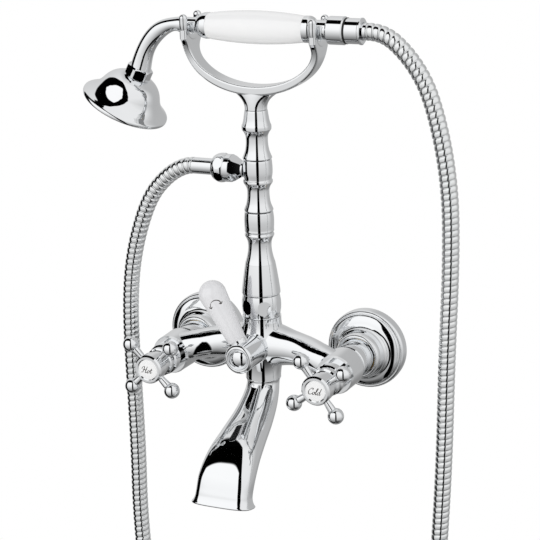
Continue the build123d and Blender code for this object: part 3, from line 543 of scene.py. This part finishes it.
# Chrome plate on buffed brass: a cold, clean mirror
chrome = polished_metal("polished_chrome_plate", "f4f5f6", "eef0f2",
                        smooth=0.01, worn=0.025, wave=0.002)
# Chromed strip rolled to its section: a mirror that rolling left a little duller
hose_chrome = polished_metal("rolled_chromed_strip", "f4f5f5", "e9ebec",
                             smooth=0.02, worn=0.06, wave=0.004)
# Satin chrome plate: soft grey reflections
spray_metal = polished_metal("satin_chromed_plate", "d9dadb", "cfd0d2",
                             smooth=0.18, worn=0.28, wave=0.01)
# Turned brass of the inner fittings: warm yellow with a soft sheen
brass = polished_metal("turned_brass", "d9b66a", "c9a255", smooth=0.18, worn=0.3, wave=0.01)
# White glaze of the grip and the discs, and a greyer copy of it: painted shade on the lever
porcelain = glazed_porcelain("glazed_porcelain", "f6f6f6", "f2f2f3")
# Same glaze made darker, which paints shade into the lever's colour
lever_shaded_porcelain = glazed_porcelain("glazed_porcelain_painted_shade", "eaeaec", "e2e2e5")
# Black rubber of the washers: dull
rubber = moulded_rubber("moulded_rubber", "161616")
# Near-black enamel of the signs: a soft gloss
enamel = printed_enamel("fired_enamel_print", "3a3430")

finish_of_slot = {
    "chrome": chrome,
    "hose_steel": hose_chrome,
    "spray_plate": spray_metal,
    "brass": brass,
    "porcelain": porcelain,
    "rubber": rubber}


def finish_nodes():
    """Give each part the finish that its slot names, and the lever the glaze with painted shade."""
    for part in frame["record"]["subparts"]:
        data = nodes[part["node"]].data
        data.materials.clear()
        data.materials.append(finish_of_slot[part["material_slot"]])
    # The lever's darker copy of the glaze is painted shade
    nodes["diverter_lever"].data.materials[0] = lever_shaded_porcelain


# Meshes

def mesh_piece(name, mesh, material, body):
    """Put a finished mesh in the scene as a piece that rides on a body."""
    piece = bpy.data.objects.new(name, mesh)
    mesh.materials.clear()
    mesh.materials.append(material)
    bpy.context.scene.collection.objects.link(piece)
    if body:
        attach(piece, body)
    return piece


def shade_smooth(mesh):
    """Smooth shading on every face."""
    mesh.polygons.foreach_set("use_smooth", np.ones(len(mesh.polygons), bool))


def smooth_line(points, steps=6):
    """Points on the smooth line through the given ones.

    On each span it is the cubic whose slope at a point is half the way from the point before to the
    point after.
    """
    given = np.array(points)
    given = np.vstack([2 * given[0] - given[1], given, 2 * given[-1] - given[-2]])
    before, start, end, after = (given[i:len(given) - 3 + i, None] for i in range(4))
    share = np.linspace(0, 1, steps, endpoint=False)[None, :, None]
    line = 0.5 * (2 * start + (end - before) * share
                  + (2 * before - 5 * start + 4 * end - after) * share ** 2
                  + (3 * start - before - 3 * end + after) * share ** 3)
    return np.vstack([line.reshape(-1, given.shape[1]), given[-2]])


def closed_mesh(name, points, quads):
    """Mesh of the quads, with doubled points joined, open ends filled and faces turned outwards."""
    mesh = bpy.data.meshes.new(name)
    mesh.from_pydata(points, [], quads)
    work = bmesh.new()
    work.from_mesh(mesh)
    bmesh.ops.delete(work, geom=[v for v in work.verts if not v.link_faces], context="VERTS")
    bmesh.ops.remove_doubles(work, verts=work.verts, dist=weld)
    bmesh.ops.holes_fill(work, edges=[e for e in work.edges if e.is_boundary], sides=0)
    bmesh.ops.recalc_face_normals(work, faces=work.faces)
    work.to_mesh(mesh)
    work.free()
    shade_smooth(mesh)
    return mesh


def closed_tube(name, rows):
    """Mesh of closed rings of points, row joined to row, with its first and last rings filled."""
    count, sides = rows.shape[:2]
    index = np.arange(count * sides).reshape(count, sides)
    beside = np.roll(index, -1, axis=1)
    quads = np.stack([index[:-1], beside[:-1], beside[1:], index[1:]], -1).reshape(-1, 4)
    return closed_mesh(name, rows.reshape(-1, 3), quads)


# Turned pieces

def turned_rings(outside, inside, origin, axis):
    """Rings about an axis.

    Each point of the profile goes round a full circle: its place is the origin, plus its distance
    along the axis, plus its radius times the cosine and the sine along two directions square to the
    axis.
    """
    radius, height = np.vstack([smooth_line(outside), inside]).T[:, :, None, None]
    angle = np.linspace(0, 2 * math.pi, ring_sides, endpoint=False)[None, :, None]
    along = np.array(axis)
    first = np.array(Vector(axis).orthogonal().normalized())
    second = np.cross(along, first)
    round_axis = np.cos(angle) * first + np.sin(angle) * second
    return (origin + height * along + radius * round_axis) * MM


def make_turned_pieces():
    """Smooth flanges, diverter cap, column lengths and rose bell, in place of the plainer ones."""
    for name, node, body, origin, axis, outside, inside in turned_pieces:
        rings = turned_rings(outside, inside, np.array(origin), axis)
        piece = mesh_piece(name, closed_tube(name, rings), chrome, body)
        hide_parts(node)


# Spout

def spout_rings(stations, inset):
    """Rings of a rounded section across each station.

    A ring is a superellipse: across is the half width times the cosine to the power of 2 over the
    squareness, and forward is the half thickness times the sine to that power, both with their
    signs. It stands square to the station's lean, and the inset draws both halves in.
    """
    depth, height, lean, across, thick, square = stations.T[:, :, None]
    angle = np.linspace(0, 2 * math.pi, ring_sides, endpoint=False)[None, :]
    cosine, sine = np.cos(angle), np.sin(angle)
    x = (across - inset) * np.sign(cosine) * np.abs(cosine) ** (2 / square)
    forward = (thick - inset) * np.sign(sine) * np.abs(sine) ** (2 / square)
    lean = np.radians(lean)
    return np.stack([x, -depth - forward * np.cos(lean), height + forward * np.sin(lean)], -1) * MM


def make_spout():
    """The cast spout: its outside, a lip rolled over the mouth, and the inside up to the bend.

    The lip's rings go half round a circle: each is drawn in by the lip's radius times one less the
    cosine, and stands past the mouth by the radius times the sine.
    """
    stations = smooth_line(spout_stations, spout_steps)
    outside = spout_rings(stations, 0.0)
    lean = math.radians(stations[-1, 2])
    down = np.array([0.0, -math.sin(lean), -math.cos(lean)]) * MM
    turn = np.linspace(0, math.pi, spout_lip_steps + 1)[1:-1, None]
    mouth = np.repeat(stations[-1:], len(turn), axis=0)
    roll = spout_rings(mouth, spout_lip_r * (1 - np.cos(turn)))
    roll += down * spout_lip_r * np.sin(turn)[..., None]
    hollow = len(stations) - spout_solid_spans * spout_steps
    inside = spout_rings(stations[::-1], spout_wall)[:hollow]
    casting = closed_tube("spout_casting", np.concatenate([outside, roll, inside]))
    piece = mesh_piece("spout_casting", casting, chrome, "mixer")
    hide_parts("spout")


# Hose

def route_line(points):
    """Points close together on the second-degree curve that the route's points control."""
    curve = bpy.data.curves.new("hose_route", "CURVE")
    curve.dimensions = "3D"
    curve.resolution_u = hose_route_steps
    spline = curve.splines.new("NURBS")
    spline.points.add(len(points) - 1)
    for point, (x, z) in zip(spline.points, points):
        point.co = (x * MM, hose_plane * MM, z * MM, 1)
    spline.order_u = 3
    spline.use_endpoint_u = True
    carrier = bpy.data.objects.new("hose_route", curve)
    line = bpy.data.meshes.new_from_object(carrier)
    place = np.zeros(len(line.vertices) * 3)
    line.vertices.foreach_get("co", place)
    bpy.data.objects.remove(carrier)
    return place.reshape(-1, 3)


def wound_hose(line):
    """Tube wound from a rounded band.

    One vertex for each step round the hose and each point of the band's section. Its distance along
    the hose is the pitch times its turns plus its share of the section, and its radius is the
    section's, so that row after row climbs like a screw. The last point of a section joins the
    first of the next turn. The hose's direction is taken over half a pitch.
    """
    along = np.concatenate([[0], np.cumsum(np.linalg.norm(np.diff(line, axis=0), axis=1))])
    length = along[-1]

    def point_at(distance):
        """Point of the line at a distance along it, or its end past that."""
        return np.stack([np.interp(distance, along, line[:, axis]) for axis in range(3)], -1)

    pitch = hose_pitch * MM
    shares, radii = np.array(hose_band).T
    radii = radii * MM
    turns = int(length / pitch) + hose_spare_turns
    column = np.arange(turns * hose_sides)
    distance = pitch * (column[:, None] / hose_sides + shares[None, :] - 1)
    radius = np.where((distance <= 0) | (distance >= length), radii.min(), radii[None, :])
    distance = np.clip(distance, 0, length)
    forward = point_at(distance + pitch / 4) - point_at(distance - pitch / 4)
    forward /= np.linalg.norm(forward, axis=-1, keepdims=True)
    first = np.array([0.0, 1.0, 0.0])
    second = np.cross(forward, first)
    angle = 2 * math.pi * column / hose_sides
    cosine = np.cos(angle)[:, None, None]
    sine = np.sin(angle)[:, None, None]
    place = point_at(distance) + radius[..., None] * (cosine * first + sine * second)
    index = np.arange(distance.size).reshape(distance.shape)
    here = np.concatenate([index[:-hose_sides - 1], index[hose_sides:-1, :1]], 1)
    beside = np.concatenate([index[1:-hose_sides], index[hose_sides + 1:, :1]], 1)
    quads = np.stack([here[:, :-1], here[:, 1:], beside[:, 1:], beside[:, :-1]], -1).reshape(-1, 4)
    corner = distance.ravel()[quads]
    quads = quads[(corner.max(1) > 0) & (corner.min(1) < length)]
    return closed_mesh("shower_hose_wound", place.reshape(-1, 3), quads)


def make_hose():
    """The shower hose, which hangs from the column outlet to the hand shower's inlet."""
    line = route_line(hose_route)
    hose = mesh_piece("shower_hose_wound", wound_hose(line), hose_chrome, None)
    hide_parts("shower_hose")
    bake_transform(hose)


# Signs printed on the porcelain

def pen_strokes(strokes, size, slant):
    """Flat ribbons as a broad pen draws them.

    The ribbon is the line moved half its width to each side. The width goes from thin to thick with
    the sine of the angle between the line's direction and the pen's edge.
    """
    corners = []
    quads = []
    for stroke in strokes:
        line = smooth_line(stroke) @ np.array([[1.0, 0.0], [slant, 1.0]]) * size
        along = np.gradient(line, axis=0)
        along /= np.linalg.norm(along, axis=1, keepdims=True)
        turn = np.arctan2(along[:, 1], along[:, 0]) - pen_angle
        half = (pen_thin + (pen_thick - pen_thin) * np.abs(np.sin(turn)))[:, None] / 2
        side = np.stack([-along[:, 1], along[:, 0]], 1) * half
        first = sum(len(c) for c in corners) + 2 * np.arange(len(line) - 1)[:, None]
        corners.append(np.stack([line + side, line - side], 1).reshape(-1, 2))
        quads.append(first + np.array([1, 3, 2, 0]))
    flat = np.vstack(corners)
    mesh = bpy.data.meshes.new("strokes")
    mesh.from_pydata(np.column_stack([flat, np.zeros(len(flat))]) * MM, [], np.vstack(quads))
    return mesh


def word(letters):
    """Strokes of a word, letter beside letter, about its middle."""
    strokes = []
    pen = 0.0
    for letter in letters:
        advance, drawn = letter_strokes[letter]
        strokes += [[(x + pen, z) for x, z in stroke] for stroke in drawn]
        pen += advance
    return [[(x - pen / 2, z - capital / 2) for x, z in stroke] for stroke in strokes]


def print_sign(name, strokes, size, slant, place, node, body):
    """Lay flat strokes on the node that they face, and give the enamel its thickness."""
    piece = bpy.data.objects.new(name, pen_strokes(strokes, size, slant))
    piece.matrix_world = place
    bpy.context.scene.collection.objects.link(piece)
    laid = piece.modifiers.new("laid", "SHRINKWRAP")
    laid.target = nodes[node]
    laid.wrap_method = "PROJECT"
    laid.use_project_z = True
    laid.use_positive_direction = False
    laid.use_negative_direction = True
    laid.offset = enamel_lift * MM
    thick = piece.modifiers.new("thick", "SOLIDIFY")
    thick.thickness = enamel_thick * MM
    thick.offset = 0.0
    depsgraph = bpy.context.evaluated_depsgraph_get()
    mesh = bpy.data.meshes.new_from_object(piece.evaluated_get(depsgraph))
    mesh.transform(place)
    bpy.data.objects.remove(piece)
    mesh_piece(name, mesh, enamel, body)


def print_signs():
    """The word on each index disc, and the arrow on the lever's front."""
    upright = Matrix.Rotation(math.radians(90), 4, "X")
    for node, body, letters in (("hot_index_disc", "hot_valve", "Hot"),
                                ("cold_index_disc", "cold_valve", "Cold")):
        low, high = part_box(node)
        middle = (np.array(low) + np.array(high)) / 2
        front = Matrix.Translation((middle[0], low[1] - disc_gap * MM, middle[2]))
        print_sign("lettering_" + letters.lower(), word(letters), letter_size, letter_slant,
                   front @ upright, node, body)
    lean = math.radians(lever_lean)
    centre = Vector((-arrow_reach * math.sin(lean), -lever_depth,
                     diverter_z + arrow_reach * math.cos(lean))) * MM
    turned = Matrix.Rotation(math.radians(arrow_turn), 4, "Y")
    facing = upright @ Matrix.Rotation(lean, 4, "Z") @ turned
    front = Matrix.Translation(centre) @ facing @ Matrix.Translation((0, 0, lever_gap * MM))
    print_sign("lever_arrow", arrow_strokes, 1.0, 0.0, front, "diverter_lever", "diverter")


place_camera()
make_world()
add_softboxes()
make_floor()
finish_nodes()
make_turned_pieces()
make_spout()
make_hose()
print_signs()
bpy.context.scene.view_settings.view_transform = "Standard"
